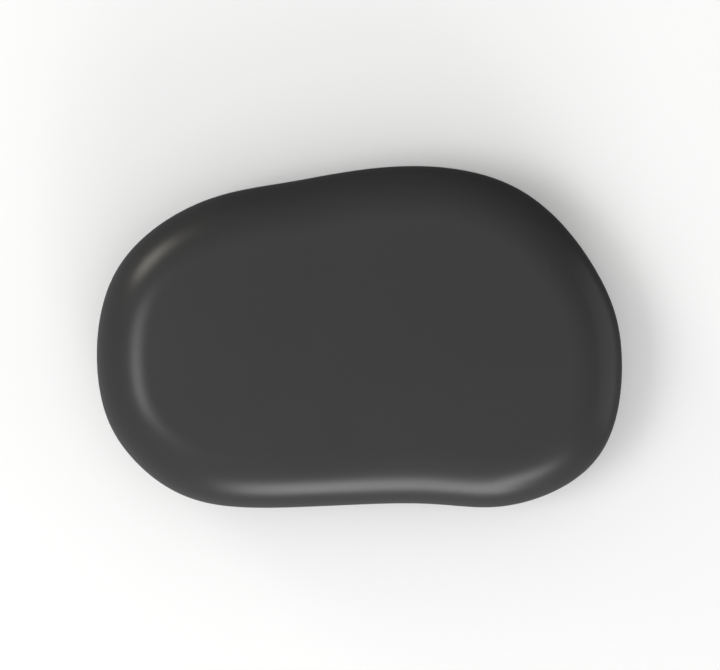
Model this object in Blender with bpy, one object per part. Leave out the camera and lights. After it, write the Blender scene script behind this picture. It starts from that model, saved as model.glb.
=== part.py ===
"""Basalt massage stone: one flat, palm-sized pebble of dense basalt, ground and polished smooth.

The stone is a single piece of rock, so the model is a single solid. Seen from above it is a long,
soft bean: a full end at +X, a rounder end at -X, and a shallow waist on the -Y side where the
thumb lies. Its edge rolls over evenly all the way round, up to a barely crowned upper face and
down to a flat lower face, which it rests on.

Run it with blender --background --python part.py, or from Blender's text editor. Units are metres
and +Z is up. The origin is the middle of the footprint, on the surface that the stone lies on.
"""

import math

import bmesh
import bpy
from mathutils import Vector

MM = 0.001

# Driving dimensions of the finished stone.
LENGTH = 80 * MM
WIDTH = 52 * MM
THICKNESS = 18 * MM

# The edge. It is widest a little under half height, on a line that rises and falls gently round
# the stone. From there it rolls inwards to each face as a quarter of a superellipse, which a
# power of 2 would make an ellipse and a higher power makes squarer.
WIDEST_LEVEL = 0.48 * THICKNESS
WIDEST_SWAY = 0.5 * MM
UPPER_ROLL = 8.8 * MM
LOWER_ROLL = 10.0 * MM
ROLL_POWER = 2.1

# How far the upper face stands proud in its middle.
CROWN = 0.7 * MM

# Control points of the outline, in millimetres, anticlockwise from the full end. They are the
# cage of a closed cubic spline, so the outline runs just inside them.
OUTLINE_CAGE = (
    (41.0, -2.25),
    (38.0, 8.75),
    (26.0, 24.5),
    (6.25, 27.0),
    (-11.0, 23.25),
    (-24.0, 22.0),
    (-39.75, 11.25),
    (-40.75, -8.75),
    (-36.0, -18.0),
    (-27.0, -25.25),
    (-14.75, -26.5),
    (11.5, -24.5),
    (21.25, -27.25),
    (38.75, -20.5),
)

# How finely the surface is divided.
STEPS_PER_CAGE_POINT = 8
ROLL_STEPS = 9
FACE_RINGS = 6

# Satin-polished basalt.
BASALT_COLOUR = (0.016, 0.016, 0.016, 1.0)
BASALT_ROUGHNESS = 0.31
BASALT_IOR = 1.5


def clear_scene():
    """Removes every object of the file that the script runs in."""
    for existing in list(bpy.data.objects):
        bpy.data.objects.remove(existing, do_unlink=True)


def collection_named(name):
    """A new collection of that name, in the scene."""
    made = bpy.data.collections.new(name)
    bpy.context.scene.collection.children.link(made)
    return made


def outline_guide(guides):
    """The outline from above, as a closed cubic spline curve."""
    curve = bpy.data.curves.new("outline_guide", "CURVE")
    curve.dimensions = "2D"
    curve.resolution_u = STEPS_PER_CAGE_POINT
    spline = curve.splines.new("NURBS")
    spline.points.add(len(OUTLINE_CAGE) - 1)
    for point, (x, y) in zip(spline.points, OUTLINE_CAGE):
        point.co = (x * MM, y * MM, 0, 1)
    spline.order_u = 4
    spline.use_cyclic_u = True
    guide = bpy.data.objects.new("outline_guide", curve)
    guide.hide_render = True
    guides.objects.link(guide)
    return guide


def outline_points(guide):
    """The guide's points, scaled so that their box is LENGTH by WIDTH about the origin."""
    bpy.context.view_layer.update()
    evaluated = guide.evaluated_get(bpy.context.evaluated_depsgraph_get())
    traced = bpy.data.meshes.new_from_object(evaluated)
    points = [vertex.co.to_2d() for vertex in traced.vertices]
    bpy.data.meshes.remove(traced)
    low = Vector((min(p.x for p in points), min(p.y for p in points)))
    high = Vector((max(p.x for p in points), max(p.y for p in points)))
    middle = (low + high) / 2
    stretch = Vector((LENGTH / (high.x - low.x), WIDTH / (high.y - low.y)))
    return [(p - middle) * stretch for p in points]


def inward_normals(outline):
    """The unit vector at each outline point that points straight into the stone."""
    normals = []
    for before, after in zip(outline[-1:] + outline[:-1], outline[1:] + outline[:1]):
        along = (after - before).normalized()
        normals.append(Vector((-along.y, along.x)))
    return normals


def widest_level(point):
    """The height of the edge's widest line beside that point: low at the ends, high at the sides."""
    angle = math.atan2(point.y, point.x)
    return WIDEST_LEVEL - WIDEST_SWAY * math.cos(2 * angle)


def crown_at(point):
    """How far the upper face stands above its rim at that point."""
    spread = (2 * point.x / LENGTH) ** 2 + (2 * point.y / WIDTH) ** 2
    return CROWN * (1 - spread)


def roll(turn):
    """The superellipse's (share of the way in, share of the way to the face), at a turn in radians."""
    power = 2 / ROLL_POWER
    return 1 - math.cos(turn) ** power, math.sin(turn) ** power


def edge_ring(outline, normals, turn):
    """The ring round the edge at that turn: 0 at the widest line, -90 degrees below, 90 above."""
    inwards, share = roll(abs(turn))
    inset = inwards * (UPPER_ROLL if turn > 0 else LOWER_ROLL)
    ring = []
    for point, normal in zip(outline, normals):
        place = point + normal * inset
        start = widest_level(point)
        face = THICKNESS - CROWN + crown_at(place) if turn > 0 else 0.0
        ring.append(Vector((place.x, place.y, start + (face - start) * share)))
    return ring


def face_ring(rim, share):
    """A ring of the upper face, that share of the way from its rim to its middle."""
    ring = []
    for corner in rim:
        place = corner.to_2d() * (1 - share)
        ring.append(Vector((place.x, place.y, THICKNESS - CROWN + crown_at(place))))
    return ring


def stone_rings():
    """Every ring of the stone, from the lower face's rim up to the middle of the upper face."""
    guides = collection_named("construction_guides")
    outline = outline_points(outline_guide(guides))
    normals = inward_normals(outline)
    quarter = math.pi / 2
    rings = [
        edge_ring(outline, normals, quarter * step / ROLL_STEPS)
        for step in range(-ROLL_STEPS, ROLL_STEPS + 1)
    ]
    rings += [face_ring(rings[-1], step / FACE_RINGS) for step in range(1, FACE_RINGS)]
    return rings


def edge_loop(bm, ring):
    """The ring as a closed loop of edges in bm."""
    corners = [bm.verts.new(place) for place in ring]
    return [bm.edges.new(pair) for pair in zip(corners, corners[1:] + corners[:1])]


def close_upper_face(bm, loop):
    """Closes the upper face's last ring with a fan of faces round its middle."""
    last = bmesh.ops.edgeloop_fill(bm, edges=loop)["faces"]
    middle = bmesh.ops.poke(bm, faces=last)["verts"][0]
    middle.co = (0, 0, THICKNESS)


def stone_mesh():
    """The stone as one closed mesh, lofted through its rings."""
    bm = bmesh.new()
    loops = [edge_loop(bm, ring) for ring in stone_rings()]
    for lower, upper in zip(loops, loops[1:]):
        bmesh.ops.bridge_loops(bm, edges=lower + upper)
    bmesh.ops.edgeloop_fill(bm, edges=loops[0])
    close_upper_face(bm, loops[-1])
    bmesh.ops.recalc_face_normals(bm, faces=bm.faces)
    mesh = bpy.data.meshes.new("massage_stone")
    bm.to_mesh(mesh)
    bm.free()
    mesh.shade_smooth()
    return mesh


def basalt():
    """Satin-polished dense basalt."""
    material = bpy.data.materials.new("satin_polished_basalt")
    material.use_nodes = True
    shader = material.node_tree.nodes["Principled BSDF"]
    shader.inputs["Base Color"].default_value = BASALT_COLOUR
    shader.inputs["Metallic"].default_value = 0.0
    shader.inputs["Roughness"].default_value = BASALT_ROUGHNESS
    shader.inputs["IOR"].default_value = BASALT_IOR
    return material


def build():
    """Builds the massage stone in its own collection."""
    clear_scene()
    parts = collection_named("basalt_massage_stone")
    mesh = stone_mesh()
    mesh.materials.append(basalt())
    parts.objects.link(bpy.data.objects.new("massage_stone", mesh))


build()
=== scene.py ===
"""Looks of the basalt massage stone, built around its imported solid.

The stone is one dense basalt pebble, ground to a flat, rounded form and polished to a satin. Its
finished surface follows one rule all round: an outline seen from above, an edge that rolls over
evenly from the widest line to each face, a barely crowned upper face and a flat lower one. A
Geometry Nodes tree draws that surface inside the box of the stone's solid, and adds the faint
unevenness that grinding by hand leaves. Lengths are in metres unless a name says otherwise.
"""

from __future__ import annotations

import logging
import math
from dataclasses import dataclass
from enum import Enum
from typing import Any

import bpy
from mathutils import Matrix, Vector


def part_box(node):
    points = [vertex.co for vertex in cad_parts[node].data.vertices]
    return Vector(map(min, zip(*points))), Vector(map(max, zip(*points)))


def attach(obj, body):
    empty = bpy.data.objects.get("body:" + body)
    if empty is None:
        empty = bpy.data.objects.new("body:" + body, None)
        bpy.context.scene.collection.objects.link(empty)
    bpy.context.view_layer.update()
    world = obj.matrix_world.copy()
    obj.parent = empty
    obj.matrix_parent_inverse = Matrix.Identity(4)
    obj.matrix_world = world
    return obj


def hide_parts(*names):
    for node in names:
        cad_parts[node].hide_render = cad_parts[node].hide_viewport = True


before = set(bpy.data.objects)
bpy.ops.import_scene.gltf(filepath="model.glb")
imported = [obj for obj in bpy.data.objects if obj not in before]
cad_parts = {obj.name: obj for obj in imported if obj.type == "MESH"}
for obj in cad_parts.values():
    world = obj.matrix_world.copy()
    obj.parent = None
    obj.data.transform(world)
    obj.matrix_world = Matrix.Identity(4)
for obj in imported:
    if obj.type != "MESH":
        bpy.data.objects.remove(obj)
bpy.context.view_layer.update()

LOG = logging.getLogger("massage_stone")
MM = 0.001
STONE_NODE = "massage_stone"

Socket = bpy.types.NodeSocket
Sockets = bpy.types.bpy_prop_collection


def srgb(code: str, alpha: float = 1.0) -> tuple[float, float, float, float]:
    """Turns an sRGB hex colour into Blender's linear one.

    Args:
        code: six hex digits, such as "3a3a39".
        alpha: the colour's opacity.

    Returns:
        Red, green and blue in linear light, and the opacity.
    """
    channels = [int(code[i : i + 2], 16) / 255 for i in (0, 2, 4)]
    red, green, blue = (
        c / 12.92 if c <= 0.04045 else ((c + 0.055) / 1.055) ** 2.4 for c in channels
    )
    return red, green, blue, alpha


def add_node(
    tree: bpy.types.NodeTree,
    kind: str,
    inputs: dict[str | int, Any] | None = None,
    **settings: Any,
) -> bpy.types.Node:
    """Adds one node to a tree, with its settings and links.

    Args:
        tree: the tree that gets the node.
        kind: the node's type, such as "ShaderNodeMath".
        inputs: what each input gets, by its name or number: a value, or an output to link.
        settings: the node's own settings, such as operation="ADD".

    Returns:
        The new node.
    """
    node = tree.nodes.new(kind)
    for name, value in settings.items():
        setattr(node, name, value)
    for name, value in (inputs or {}).items():
        if isinstance(value, Socket):
            tree.links.new(value, node.inputs[name])
        else:
            node.inputs[name].default_value = value
    return node


def work_out(
    tree: bpy.types.NodeTree,
    known: dict[str, Socket],
    steps: tuple[tuple[str | float, ...], ...],
) -> dict[str, Socket]:
    """Adds a formula to a tree, one step after another.

    Args:
        tree: the tree to add to.
        known: the outputs that the steps may use, by name.
        steps: for each step the name of its result, its operation, and what it works on: names
            of known values or of earlier results, or plain numbers.

    Returns:
        Everything known afterwards, by name.
    """
    found = dict(known)
    for name, operation, *terms in steps:
        inputs = {i: found.get(term, term) for i, term in enumerate(terms)}
        found[name] = add_node(tree, "ShaderNodeMath", inputs, operation=operation).outputs[0]
    return found


@dataclass(frozen=True)
class Outline:
    """The stone's outline from above: a closed cubic spline inside a cage of points.

    The cage is in millimetres and runs anticlockwise from the full end. The curve is stretched
    to the length and width that it is asked for.
    """

    cage: tuple[tuple[float, float], ...] = (
        (41.0, -2.25),
        (38.0, 8.75),
        (26.0, 24.5),
        (6.25, 27.0),
        (-11.0, 23.25),
        (-24.0, 22.0),
        (-39.75, 11.25),
        (-40.75, -8.75),
        (-36.0, -18.0),
        (-27.0, -25.25),
        (-14.75, -26.5),
        (11.5, -24.5),
        (21.25, -27.25),
        (38.75, -20.5),
    )
    # Each straight piece of the drawn curve is about 0.06 mm long.
    steps_per_point: int = 256

    def curve(self, low: Vector, high: Vector) -> bpy.types.Object:
        """Draws the outline so that it fills a box seen from above.

        Args:
            low: the box's lowest corner.
            high: the box's highest corner.

        Returns:
            A curve object holding one closed spline.
        """
        drawn = bpy.data.curves.new("outline", "CURVE")
        drawn.dimensions = "2D"
        drawn.resolution_u = self.steps_per_point
        spline = drawn.splines.new("NURBS")
        spline.points.add(len(self.cage) - 1)
        spline.order_u = 4
        spline.use_cyclic_u = True
        for point, (x, y) in zip(spline.points, self.cage):
            point.co = (x * MM, y * MM, 0, 1)
        outline = bpy.data.objects.new("outline", drawn)
        bpy.context.scene.collection.objects.link(outline)
        bpy.context.view_layer.update()
        corners = [Vector(corner) for corner in outline.bound_box]
        for axis in (0, 1):
            start = min(corner[axis] for corner in corners)
            stop = max(corner[axis] for corner in corners)
            stretch = (high[axis] - low[axis]) / (stop - start)
            for point in spline.points:
                point.co[axis] = low[axis] + (point.co[axis] - start) * stretch
        return outline


@dataclass
class Surface:
    """The rule of the stone's surface, as a Geometry Nodes tree.

    Every point of a finely divided ball is moved to the stone: its direction round the ball picks
    a place along the outline, and its height picks how far the section has turned.
    """

    length: float
    width: float
    thickness: float
    # The edge is widest a little under half height, on a line that sways gently up and down.
    widest_share: float = 0.48
    widest_sway: float = 0.5 * MM
    # How far the edge rolls in to each face. A roll power of 2 would make it an ellipse.
    upper_roll: float = 8.8 * MM
    lower_roll: float = 10.0 * MM
    roll_power: float = 2.1
    # How far the upper face stands proud in its middle.
    crown: float = 0.7 * MM
    # Where on the ball the roll ends and the face starts, as an angle above its equator.
    rim_height: float = math.radians(48)
    points_per_side: int = 120
    # What grinding by hand leaves: how deep its waves are, and how far apart.
    wave_depth: float = 0.05 * MM
    wave_span: float = 19 * MM
    seed: int = 7

    def tree(self, material: bpy.types.Material) -> bpy.types.NodeTree:
        """Builds the tree, with one named input for each of the rule's sizes.

        Args:
            material: the stone's finish.

        Returns:
            A tree that takes the outline as a curve and gives the stone as a mesh.
        """
        tree = bpy.data.node_groups.new("stone_surface", "GeometryNodeTree")
        interface = tree.interface
        interface.new_socket("Outline", in_out="INPUT", socket_type="NodeSocketGeometry")
        for name, value in self.inputs().items():
            kind = "NodeSocketInt" if isinstance(value, int) else "NodeSocketFloat"
            interface.new_socket(name, in_out="INPUT", socket_type=kind).default_value = value
        interface.new_socket("Stone", in_out="OUTPUT", socket_type="NodeSocketGeometry")
        given = add_node(tree, "NodeGroupInput").outputs
        even = self.section(tree, given)
        ground = self.hand_ground(tree, given, even)
        smooth = add_node(tree, "GeometryNodeSetShadeSmooth", {"Geometry": ground})
        real = add_node(tree, "GeometryNodeRealizeInstances", {"Geometry": smooth.outputs[0]})
        dressed = add_node(
            tree,
            "GeometryNodeSetMaterial",
            {"Geometry": real.outputs[0], "Material": material},
        )
        add_node(tree, "NodeGroupOutput", {"Stone": dressed.outputs[0]})
        return tree

    def inputs(self) -> dict[str, float | int]:
        """The tree's named inputs and their values."""
        return {
            "Length": self.length,
            "Width": self.width,
            "Thickness": self.thickness,
            "Widest Level": self.widest_share * self.thickness,
            "Widest Sway": self.widest_sway,
            "Upper Roll": self.upper_roll,
            "Lower Roll": self.lower_roll,
            "Roll Power": self.roll_power,
            "Crown": self.crown,
            "Rim Height": self.rim_height,
            "Points per Side": self.points_per_side,
            "Wave Depth": self.wave_depth,
            "Wave Span": self.wave_span,
            "Seed": self.seed,
        }

    def ball(
        self, tree: bpy.types.NodeTree, given: Sockets
    ) -> tuple[Socket, dict[str, Socket]]:
        """Adds the ball that the surface is drawn on, as a cube with evenly divided sides.

        Args:
            tree: the tree to add to.
            given: the tree's named inputs.

        Returns:
            The cube as a mesh, and at each of its points the share of the way round (around) and
            the height above the ball's equator as an angle (height).
        """
        per_side = given["Points per Side"]
        cube = add_node(
            tree,
            "GeometryNodeMeshCube",
            {"Vertices X": per_side, "Vertices Y": per_side, "Vertices Z": per_side},
        )
        place = add_node(tree, "GeometryNodeInputPosition").outputs[0]
        aim = add_node(tree, "ShaderNodeVectorMath", {0: place}, operation="NORMALIZE")
        axes = add_node(tree, "ShaderNodeSeparateXYZ", {0: aim.outputs[0]}).outputs
        found = work_out(
            tree,
            {"x": axes["X"], "y": axes["Y"], "z": axes["Z"]},
            (
                ("angle", "ARCTAN2", "y", "x"),
                ("turns", "DIVIDE", "angle", math.tau),
                ("around", "FRACT", "turns"),
                ("height", "ARCSINE", "z"),
            ),
        )
        return cube.outputs["Mesh"], found

    def rim(
        self, tree: bpy.types.NodeTree, given: Sockets, around: Socket
    ) -> tuple[Socket, Socket]:
        """Adds the outline's point and its inward direction at each share of the way round.

        Args:
            tree: the tree to add to.
            given: the tree's named inputs.
            around: the share of the way round.

        Returns:
            The place on the outline, and the unit vector that points straight inwards from it.
        """
        sample = add_node(
            tree,
            "GeometryNodeSampleCurve",
            {"Curves": given["Outline"], "Factor": around},
            mode="FACTOR",
            use_all_curves=True,
        )
        inwards = add_node(
            tree,
            "ShaderNodeVectorMath",
            {0: (0.0, 0.0, 1.0), 1: sample.outputs["Tangent"]},
            operation="CROSS_PRODUCT",
        )
        unit = add_node(
            tree, "ShaderNodeVectorMath", {0: inwards.outputs[0]}, operation="NORMALIZE"
        )
        return sample.outputs["Position"], unit.outputs[0]

    def section(self, tree: bpy.types.NodeTree, given: Sockets) -> Socket:
        """Adds the section's rule, and moves the ball's points to the stone.

        The edge is a quarter of a superellipse above its widest line and another below it. Past
        the end of each quarter, the points spread over the face that it leads to.

        Args:
            tree: the tree to add to.
            given: the tree's named inputs.

        Returns:
            The stone's mesh, still perfectly even.
        """
        ball, known = self.ball(tree, given)
        rim, inwards = self.rim(tree, given, known["around"])
        on_rim = add_node(tree, "ShaderNodeSeparateXYZ", {0: rim}).outputs
        known.update({name: given[name] for name in self.inputs()})
        known.update({"rim_x": on_rim["X"], "rim_y": on_rim["Y"]})
        found = work_out(
            tree,
            known,
            (
                ("upper", "GREATER_THAN", "height", 0.0),
                ("climb", "ABSOLUTE", "height"),
                ("roll_share", "DIVIDE", "climb", "Rim Height"),
                ("roll_share", "MINIMUM", "roll_share", 1.0),
                ("turn", "MULTIPLY", "roll_share", math.pi / 2),
                ("past_rim", "SUBTRACT", "climb", "Rim Height"),
                ("face_span", "SUBTRACT", math.pi / 2, "Rim Height"),
                ("face_share", "DIVIDE", "past_rim", "face_span"),
                ("face_share", "MAXIMUM", "face_share", 0.0),
                ("power", "DIVIDE", 2.0, "Roll Power"),
                ("cosine", "COSINE", "turn"),
                ("cosine", "MAXIMUM", "cosine", 0.0),
                ("outwards", "POWER", "cosine", "power"),
                ("inset_share", "SUBTRACT", 1.0, "outwards"),
                ("sine", "SINE", "turn"),
                ("rise", "POWER", "sine", "power"),
                ("roll_gain", "SUBTRACT", "Upper Roll", "Lower Roll"),
                ("roll", "MULTIPLY_ADD", "roll_gain", "upper", "Lower Roll"),
                ("inset", "MULTIPLY", "inset_share", "roll"),
                ("shrink", "SUBTRACT", 1.0, "face_share"),
                ("rim_angle", "ARCTAN2", "rim_y", "rim_x"),
                ("rim_angle", "MULTIPLY", "rim_angle", 2.0),
                ("sway", "COSINE", "rim_angle"),
                ("sway", "MULTIPLY", "sway", "Widest Sway"),
                ("start", "SUBTRACT", "Widest Level", "sway"),
            ),
        )
        step = add_node(
            tree,
            "ShaderNodeVectorMath",
            {0: inwards, "Scale": found["inset"]},
            operation="SCALE",
        )
        rolled = add_node(
            tree, "ShaderNodeVectorMath", {0: rim, 1: step.outputs[0]}, operation="ADD"
        )
        place = add_node(
            tree,
            "ShaderNodeVectorMath",
            {0: rolled.outputs[0], "Scale": found["shrink"]},
            operation="SCALE",
        )
        axes = add_node(tree, "ShaderNodeSeparateXYZ", {0: place.outputs[0]}).outputs
        found.update({"x": axes["X"], "y": axes["Y"]})
        found = work_out(
            tree,
            found,
            (
                ("half_length", "DIVIDE", "Length", 2.0),
                ("half_width", "DIVIDE", "Width", 2.0),
                ("along", "DIVIDE", "x", "half_length"),
                ("across", "DIVIDE", "y", "half_width"),
                ("along", "MULTIPLY", "along", "along"),
                ("across", "MULTIPLY", "across", "across"),
                ("spread", "ADD", "along", "across"),
                ("drop", "MULTIPLY", "spread", "Crown"),
                ("face", "SUBTRACT", "Thickness", "drop"),
                ("face", "MULTIPLY", "face", "upper"),
                ("to_face", "SUBTRACT", "face", "start"),
                ("level", "MULTIPLY_ADD", "to_face", "rise", "start"),
            ),
        )
        final = add_node(
            tree,
            "ShaderNodeCombineXYZ",
            {"X": found["x"], "Y": found["y"], "Z": found["level"]},
        )
        moved = add_node(
            tree, "GeometryNodeSetPosition", {"Geometry": ball, "Position": final.outputs[0]}
        )
        return moved.outputs[0]

    def hand_ground(
        self, tree: bpy.types.NodeTree, given: Sockets, stone: Socket
    ) -> Socket:
        """Adds the broad, shallow unevenness that grinding by hand leaves.

        The noise runs from 0 to 1, so it is spread to run from -1 to 1. It fades out below the
        widest line, which leaves the lower face flat.

        Args:
            tree: the tree to add to.
            given: the tree's named inputs.
            stone: the even stone.

        Returns:
            The stone's finished mesh.
        """
        place = add_node(tree, "GeometryNodeInputPosition").outputs[0]
        level = add_node(tree, "ShaderNodeSeparateXYZ", {0: place}).outputs["Z"]
        known = {name: given[name] for name in self.inputs()}
        known = work_out(tree, known, (("scale", "DIVIDE", 1.0, "Wave Span"),))
        waves = add_node(
            tree,
            "ShaderNodeTexNoise",
            {"Vector": place, "W": given["Seed"], "Scale": known["scale"], "Detail": 1.0},
            noise_dimensions="4D",
        )
        known.update({"wave": waves.outputs[0], "level": level})
        found = work_out(
            tree,
            known,
            (
                ("wave", "SUBTRACT", "wave", 0.5),
                ("wave", "MULTIPLY", "wave", 2.0),
                ("wave", "MULTIPLY", "wave", "Wave Depth"),
                ("fade", "DIVIDE", "level", "Widest Level"),
                ("fade", "MINIMUM", "fade", 1.0),
                ("wave", "MULTIPLY", "wave", "fade"),
            ),
        )
        normal = add_node(tree, "GeometryNodeInputNormal").outputs[0]
        push = add_node(
            tree,
            "ShaderNodeVectorMath",
            {0: normal, "Scale": found["wave"]},
            operation="SCALE",
        )
        worn = add_node(
            tree, "GeometryNodeSetPosition", {"Geometry": stone, "Offset": push.outputs[0]}
        )
        return worn.outputs[0]

    def drawn_on(
        self, outline: bpy.types.Object, material: bpy.types.Material
    ) -> bpy.types.Mesh:
        """Runs the tree on the outline and keeps the result as a plain mesh.

        Args:
            outline: the outline's curve object, which is removed afterwards.
            material: the stone's finish.

        Returns:
            The stone's mesh.
        """
        tree = self.tree(material)
        modifier = outline.modifiers.new("stone_surface", "NODES")
        modifier.node_group = tree
        values = self.inputs()
        for socket in tree.interface.items_tree:
            if socket.name in values:
                modifier[socket.identifier] = values[socket.name]
        bpy.context.view_layer.update()
        evaluated = outline.evaluated_get(bpy.context.evaluated_depsgraph_get())
        mesh = bpy.data.meshes.new_from_object(evaluated)
        drawn = outline.data
        bpy.data.objects.remove(outline, do_unlink=True)
        bpy.data.curves.remove(drawn)
        # The curve leaves an empty slot in front of the finish, so the slots are made afresh.
        mesh.materials.clear()
        mesh.materials.append(material)
        for face in mesh.polygons:
            face.material_index = 0
        return mesh


class Polish(Enum):
    """How far a stone is rubbed down, with the roughness that each stage leaves."""

    HONED = 0.42
    SATIN = 0.31
    OILED = 0.22


@dataclass(frozen=True)
class Basalt:
    """Dense basalt, ground with fine grit and rubbed smooth.

    Its groundmass is too fine to see as crystals, so the eye gets an even, neutral charcoal with a
    soft sheen, a whisper of fine grain, and a few slightly paler feldspar flecks.
    """

    # The groundmass drifts between two close shades, and the feldspar is a shade paler.
    dark: str = "1f1f1f"
    light: str = "232323"
    fleck: str = "2e2e2d"
    ior: float = 1.5
    # The polish varies this much either way, as cloudily as the colour does.
    polish: Polish = Polish.SATIN
    polish_change: float = 0.02
    cloud_span: float = 24 * MM
    cloud_range: tuple[float, float] = (0.3, 0.7)
    cloud_detail: float = 3.0
    # Real grains are under 0.1 mm across, too fine to show, so they are drawn coarser.
    grain_span: float = 0.45 * MM
    grain_detail: float = 2.0
    grain_share: float = 0.5
    grain_relief: float = 0.0006 * MM
    # The tone is the clouds plus that share of the grain, and this is the range that is used.
    tone_range: tuple[float, float] = (0.5, 1.0)
    # Each fleck fades out from half its radius, so that its rim is soft.
    fleck_span: float = 1.6 * MM
    fleck_radius: float = 0.14 * MM

    def material(self, middle: Vector) -> bpy.types.Material:
        """Builds the material.

        Args:
            middle: the stone's middle, on which the pattern is centred.

        Returns:
            The material.
        """
        made = bpy.data.materials.new(f"{self.polish.name.lower()}_basalt")
        made.use_nodes = True
        tree = made.node_tree
        tree.nodes.clear()
        own = add_node(tree, "ShaderNodeTexCoord").outputs["Object"]
        centred = add_node(
            tree, "ShaderNodeMapping", {"Vector": own, "Location": -middle}
        ).outputs[0]
        clouds = add_node(
            tree,
            "ShaderNodeTexNoise",
            {
                "Vector": centred,
                "Scale": 1 / self.cloud_span,
                "Detail": self.cloud_detail,
            },
        ).outputs["Fac"]
        grain = add_node(
            tree,
            "ShaderNodeTexNoise",
            {
                "Vector": centred,
                "Scale": 1 / self.grain_span,
                "Detail": self.grain_detail,
            },
        ).outputs["Fac"]
        colour = self.colour(tree, centred, clouds, grain)
        polish = add_node(
            tree,
            "ShaderNodeMapRange",
            {
                "Value": clouds,
                "From Min": self.cloud_range[0],
                "From Max": self.cloud_range[1],
                "To Min": self.polish.value - self.polish_change,
                "To Max": self.polish.value + self.polish_change,
            },
        ).outputs[0]
        relief = add_node(
            tree, "ShaderNodeBump", {"Height": grain, "Distance": self.grain_relief}
        ).outputs[0]
        shader = add_node(
            tree,
            "ShaderNodeBsdfPrincipled",
            {
                "Base Color": colour,
                "Metallic": 0.0,
                "Roughness": polish,
                "IOR": self.ior,
                "Normal": relief,
            },
        )
        add_node(tree, "ShaderNodeOutputMaterial", {"Surface": shader.outputs[0]})
        return made

    def colour(
        self, tree: bpy.types.NodeTree, centred: Socket, clouds: Socket, grain: Socket
    ) -> Socket:
        """Adds the stone's colour: clouded, grained and flecked, all within a few shades.

        Args:
            tree: the material's tree.
            centred: where on the stone a point lies.
            clouds: the broad pattern.
            grain: the fine pattern.

        Returns:
            The colour.
        """
        tone = add_node(
            tree,
            "ShaderNodeMath",
            {0: grain, 1: self.grain_share, 2: clouds},
            operation="MULTIPLY_ADD",
        ).outputs[0]
        spread = add_node(
            tree,
            "ShaderNodeMapRange",
            {"Value": tone, "From Min": self.tone_range[0], "From Max": self.tone_range[1]},
        ).outputs[0]
        groundmass = add_node(
            tree,
            "ShaderNodeMix",
            {0: spread, 6: srgb(self.dark), 7: srgb(self.light)},
            data_type="RGBA",
        ).outputs[2]
        cells = add_node(
            tree, "ShaderNodeTexVoronoi", {"Vector": centred, "Scale": 1 / self.fleck_span}
        ).outputs
        near = self.fleck_radius / self.fleck_span
        fleck = add_node(
            tree,
            "ShaderNodeMapRange",
            {
                "Value": cells["Distance"],
                "From Min": near,
                "From Max": near / 2,
            },
            interpolation_type="SMOOTHSTEP",
        ).outputs[0]
        return add_node(
            tree,
            "ShaderNodeMix",
            {0: fleck, 6: groundmass, 7: srgb(self.fleck)},
            data_type="RGBA",
        ).outputs[2]


@dataclass
class MassageStone:
    """The stone: its outline, the surface drawn on it, and its finish."""

    low: Vector
    high: Vector
    outline: Outline = Outline()
    finish: Basalt = Basalt()

    def build(self) -> bpy.types.Object:
        """Makes the finished stone in the box of its solid.

        Returns:
            The stone's object.
        """
        middle = (self.low + self.high) / 2
        length, width, thickness = self.high - self.low
        surface = Surface(length, width, thickness)
        curve = self.outline.curve(self.low, self.high)
        mesh = surface.drawn_on(curve, self.finish.material(middle))
        mesh.name = "basalt_pebble"
        stone = bpy.data.objects.new("basalt_pebble", mesh)
        bpy.context.scene.collection.objects.link(stone)
        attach(stone, "root")
        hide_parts(STONE_NODE)
        return stone


@dataclass(frozen=True)
class Paper:
    """White background paper, pressed and left uncoated.

    The eye gets one even, pale surface without any shine.
    """

    colour: str = "f4f4f4"
    roughness: float = 0.9

    def material(self) -> bpy.types.Material:
        """Builds the material.

        Returns:
            The material.
        """
        made = bpy.data.materials.new("matt_white_paper")
        made.use_nodes = True
        shader = made.node_tree.nodes["Principled BSDF"]
        shader.inputs["Base Color"].default_value = srgb(self.colour)
        shader.inputs["Roughness"].default_value = self.roughness
        return made


@dataclass(frozen=True)
class Lamp:
    """One softbox, aimed at the stone.

    Its place is given from the stone: azimuth from +X towards +Y, height above the horizon, and
    distance. Its width lies level, its depth stands across it, and its power is in watts. A
    softbox that isn't mirrored lights the stone and the floor, but leaves no highlight.
    """

    name: str
    azimuth: float
    height: float
    distance: float
    width: float
    depth: float
    power: float
    colour: str = "ffffff"
    mirrored: bool = True

    def hang(self, target: Vector) -> bpy.types.Object:
        """Hangs the softbox.

        Args:
            target: the point that it is aimed at.

        Returns:
            The light's object.
        """
        light = bpy.data.lights.new(self.name, "AREA")
        light.shape = "RECTANGLE"
        light.size = self.width
        light.size_y = self.depth
        light.energy = self.power
        light.color = srgb(self.colour)[:3]
        azimuth, height = math.radians(self.azimuth), math.radians(self.height)
        away = Vector(
            (
                math.cos(azimuth) * math.cos(height),
                math.sin(azimuth) * math.cos(height),
                math.sin(height),
            )
        )
        lamp = bpy.data.objects.new(self.name, light)
        lamp.visible_camera = False
        lamp.visible_glossy = self.mirrored
        lamp.location = target + away * self.distance
        lamp.rotation_euler = (-away).to_track_quat("-Z", "Y").to_euler()
        bpy.context.scene.collection.objects.link(lamp)
        return lamp


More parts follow.
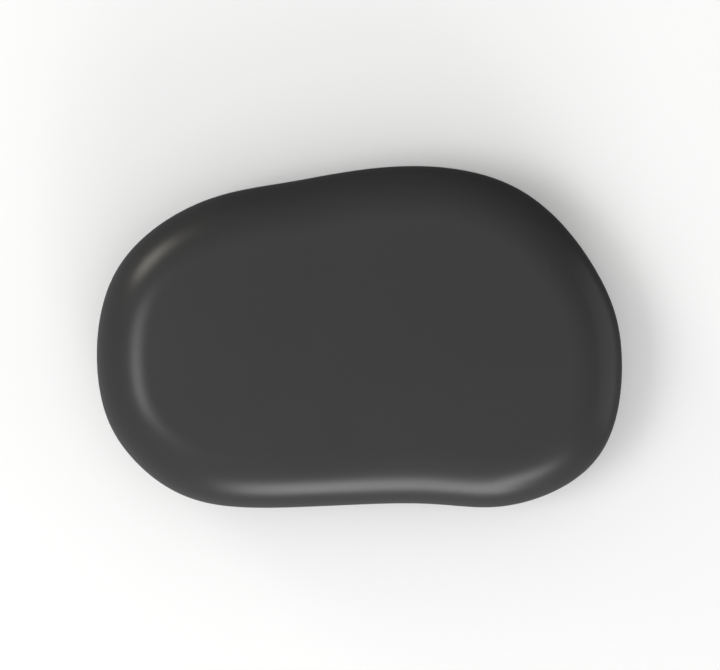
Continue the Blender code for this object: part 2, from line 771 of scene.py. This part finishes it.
@dataclass
class Studio:
    """A pale floor, a softly lit room, seven softboxes, and a camera that looks straight down.

    The room is brightest overhead and towards the front left: mean_light is its average, and
    light_swing how much each direction adds to that. The floor isn't mirrored in the stone, so the
    parts of the low softboxes that reach below its level still show in the steep edge.
    """

    target: Vector
    lens: float = 100.0
    camera_height: float = 0.3136
    camera_offset: tuple[float, float] = (0.08 * MM, 0.3 * MM)
    clip: tuple[float, float] = (0.01, 100.0)
    floor_side: float = 60.0
    paper: Paper = Paper()
    mean_light: float = 0.493
    light_swing: tuple[float, float, float] = (-0.132, -0.211, 0.344)
    lamps: tuple[Lamp, ...] = (
        Lamp("key_left", -172, 56, 1.0, 0.45, 0.3, 1.4),
        Lamp("front_low", -86, 11, 1.0, 0.45, 0.45, 2.9),
        Lamp("front_right", -68, 24, 1.0, 0.3, 0.25, 1.14),
        Lamp("back_left_warm", 140, 16, 1.0, 0.3, 0.35, 1.5, "fefaec"),
        Lamp("right_broad", 5, -5, 1.0, 0.9, 0.9, 1.03),
        Lamp("left_soft", -165, 50, 1.5, 0.7, 0.7, 3.3, mirrored=False),
        Lamp("front_soft", -75, 8, 1.5, 0.7, 0.7, 2.44, mirrored=False),
    )

    def build(self) -> None:
        """Lays the floor, hangs the lights and sets up the camera."""
        self.lay_floor()
        self.light_room()
        for lamp in self.lamps:
            lamp.hang(self.target)
        self.set_camera()

    def lay_floor(self) -> None:
        """Lays the floor under the stone, and hides it from the stone's polish."""
        half = self.floor_side / 2
        mesh = bpy.data.meshes.new("floor")
        corners = [(-half, -half, 0), (half, -half, 0), (half, half, 0), (-half, half, 0)]
        mesh.from_pydata(corners, [], [(0, 1, 2, 3)])
        floor = bpy.data.objects.new("floor", mesh)
        bpy.context.scene.collection.objects.link(floor)
        mesh.materials.append(self.paper.material())
        floor.visible_glossy = False

    def light_room(self) -> None:
        """Lights the room with one smooth gradient."""
        world = bpy.data.worlds.new("room")
        world.use_nodes = True
        tree = world.node_tree
        direction = add_node(tree, "ShaderNodeTexCoord").outputs["Generated"]
        swing = add_node(
            tree,
            "ShaderNodeVectorMath",
            {0: direction, 1: self.light_swing},
            operation="DOT_PRODUCT",
        ).outputs["Value"]
        light = add_node(
            tree, "ShaderNodeMath", {0: swing, 1: self.mean_light}, operation="ADD"
        ).outputs[0]
        background = tree.nodes["Background"]
        background.inputs["Color"].default_value = srgb("ffffff")
        tree.links.new(light, background.inputs["Strength"])
        bpy.context.scene.world = world

    def set_camera(self) -> None:
        """Sets the camera straight above the stone, looking down."""
        camera = bpy.data.cameras.new("camera")
        camera.lens = self.lens
        camera.clip_start, camera.clip_end = self.clip
        eye = bpy.data.objects.new("camera", camera)
        across, up = self.camera_offset
        eye.location = (self.target.x + across, self.target.y + up, self.camera_height)
        bpy.context.scene.collection.objects.link(eye)
        bpy.context.scene.camera = eye


def main() -> None:
    """Builds the stone and the studio round it."""
    logging.basicConfig(level=logging.INFO, format="%(name)s: %(message)s")
    bpy.context.scene.view_settings.view_transform = "Standard"
    low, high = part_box(STONE_NODE)
    stone = MassageStone(low, high).build()
    LOG.info("%s: %d faces", stone.name, len(stone.data.polygons))
    studio = Studio(target=(low + high) / 2)
    studio.build()
    LOG.info("studio: floor, room, camera and %d softboxes", len(studio.lamps))


if __name__ == "__main__":
    main()
